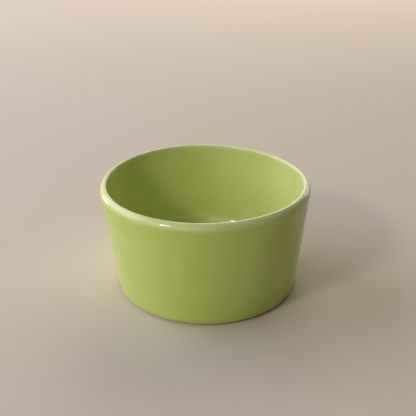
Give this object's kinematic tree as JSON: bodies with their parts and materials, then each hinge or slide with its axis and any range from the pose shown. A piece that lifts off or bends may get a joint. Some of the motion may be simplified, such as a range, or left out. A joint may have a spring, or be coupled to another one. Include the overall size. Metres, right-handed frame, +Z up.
{
  "type": "side bowl",
  "caption": "Small straight-sided bowl of lime-green glazed earthenware that widens to a rounded rim and stands on a bare foot ring, for side dishes and dips.",
  "frame": {"origin": "on the bowl's axis, at the flat underside of the foot ring, where the bowl meets the table", "axes": "+Z up along the bowl's axis, from the foot to the rim; X and Y level, the bowl being round"},
  "size_m": [0.11, 0.11, 0.0585],
  "materials": {
    "bare_clay": "bare biscuit-fired earthenware, matt",
    "lime_glaze": "glossy lime-green earthenware glaze",
    "lime_base_glaze": "glossy lime-green earthenware glaze, as it pools under the foot"
  },
  "bodies": {
    "root": {"clay_body": "bare_clay", "glaze_coat": "lime_glaze", "base_glaze": "lime_base_glaze"}
  },
  "joints": []
}
